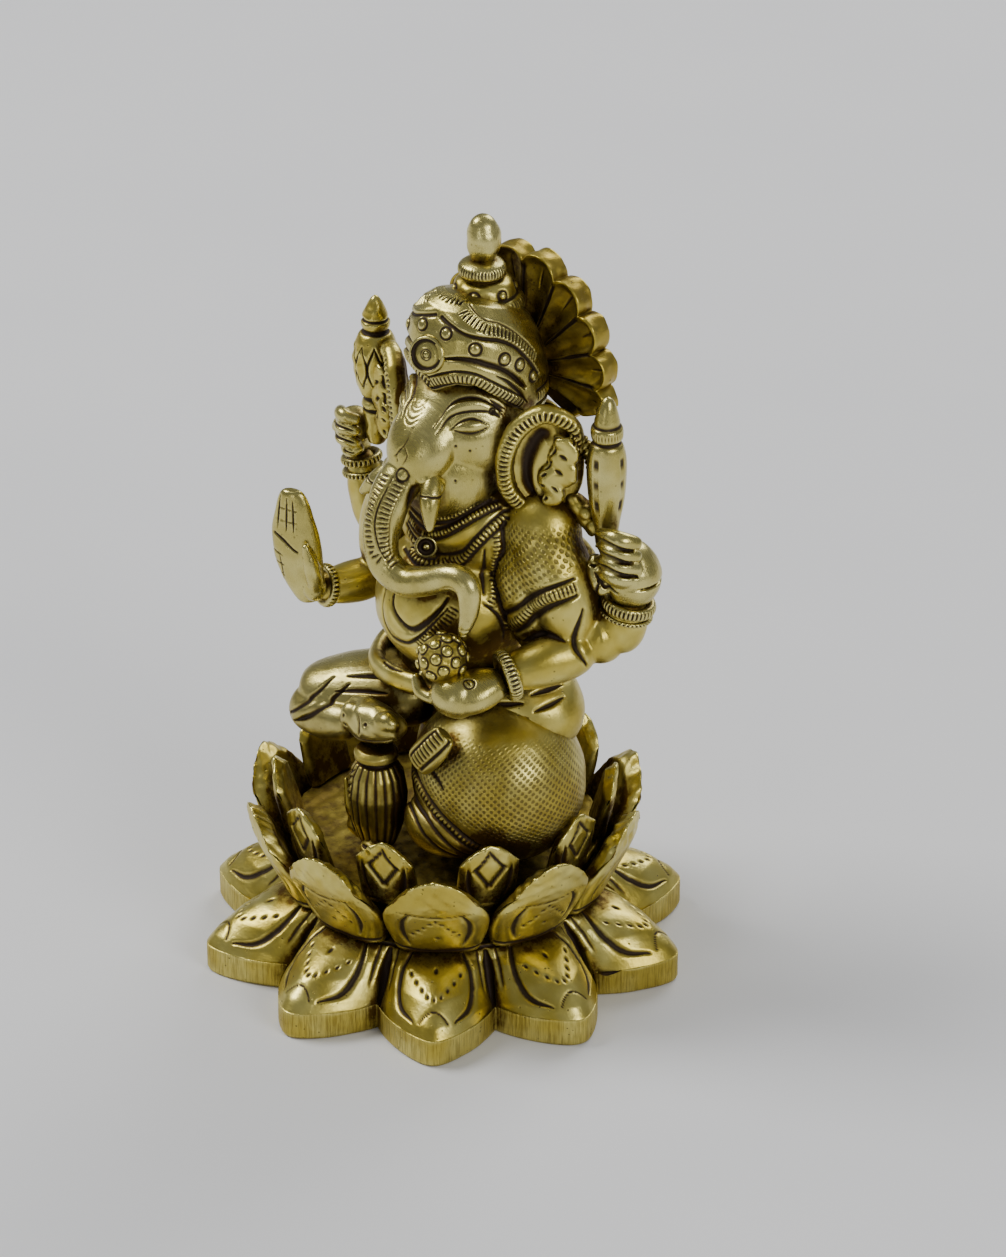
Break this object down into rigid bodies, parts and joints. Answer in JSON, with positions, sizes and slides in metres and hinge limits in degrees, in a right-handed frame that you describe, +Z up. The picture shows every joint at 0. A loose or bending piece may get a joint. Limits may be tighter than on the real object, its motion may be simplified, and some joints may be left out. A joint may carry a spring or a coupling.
{
  "type": "ganesha idol",
  "caption": "Cast brass devotional figure: elephant-headed, seated, several arms, with a crown and lobed fan, in a double lotus base that stands on a flat petalled foot",
  "frame": {"origin": "centre of the lotus foot on the surface it stands on", "axes": "+Z up, the figure looks along -Y, its left side is +X"},
  "size_m": [0.0868, 0.0888, 0.1428],
  "materials": {
    "lotus_brass": "cast yellow brass, hand chased, dark lacquer rubbed into the engraved lines, bright on the raised faces",
    "figure_brass": "cast yellow brass with engraved cloth pattern and dark grooves, satin",
    "worn_brass": "cast brass hand polished to a pale greenish gold on the face, trunk and hands",
    "dark_brass": "unpolished cast brass in the recesses, brown with tarnish"
  },
  "bodies": {
    "root": {"lower_lotus": "lotus_brass", "upper_lotus_bowl": "dark_brass", "outer_petal_01": "lotus_brass", "outer_petal_02": "lotus_brass", "outer_petal_03": "lotus_brass", "outer_petal_04": "lotus_brass", "outer_petal_05": "lotus_brass", "outer_petal_06": "lotus_brass", "outer_petal_07": "lotus_brass", "outer_petal_08": "lotus_brass", "outer_petal_09": "lotus_brass", "outer_petal_10": "lotus_brass", "inner_petal_01": "lotus_brass", "inner_petal_02": "lotus_brass", "inner_petal_03": "lotus_brass", "inner_petal_04": "lotus_brass", "inner_petal_05": "lotus_brass", "inner_petal_06": "lotus_brass", "inner_petal_07": "lotus_brass", "inner_petal_08": "lotus_brass", "inner_petal_09": "lotus_brass", "inner_petal_10": "lotus_brass", "sweets": "figure_brass", "front_left_hand": "worn_brass", "front_right_hand": "worn_brass", "goad": "figure_brass", "rear_right_hand": "worn_brass", "mace": "worn_brass", "rear_left_hand": "worn_brass", "rope_strand": "figure_brass", "trunk": "worn_brass", "tusk_left": "worn_brass", "tusk_right": "worn_brass", "crown_finial": "worn_brass", "crown_tiers": "figure_brass", "halo": "dark_brass", "crown_medallion": "worn_brass", "crown_band": "figure_brass", "crown_dome": "worn_brass", "head": "worn_brass", "ear_left": "figure_brass", "ear_right": "figure_brass", "sash_end": "figure_brass", "right_foot": "worn_brass", "footrest_bud": "figure_brass", "footrest_leaf": "dark_brass", "waist_belt": "figure_brass", "front_left_arm": "worn_brass", "front_right_arm": "worn_brass", "rear_left_arm": "figure_brass", "rear_right_arm": "figure_brass", "left_thigh": "figure_brass", "right_thigh": "worn_brass", "torso": "figure_brass"}
  },
  "joints": []
}
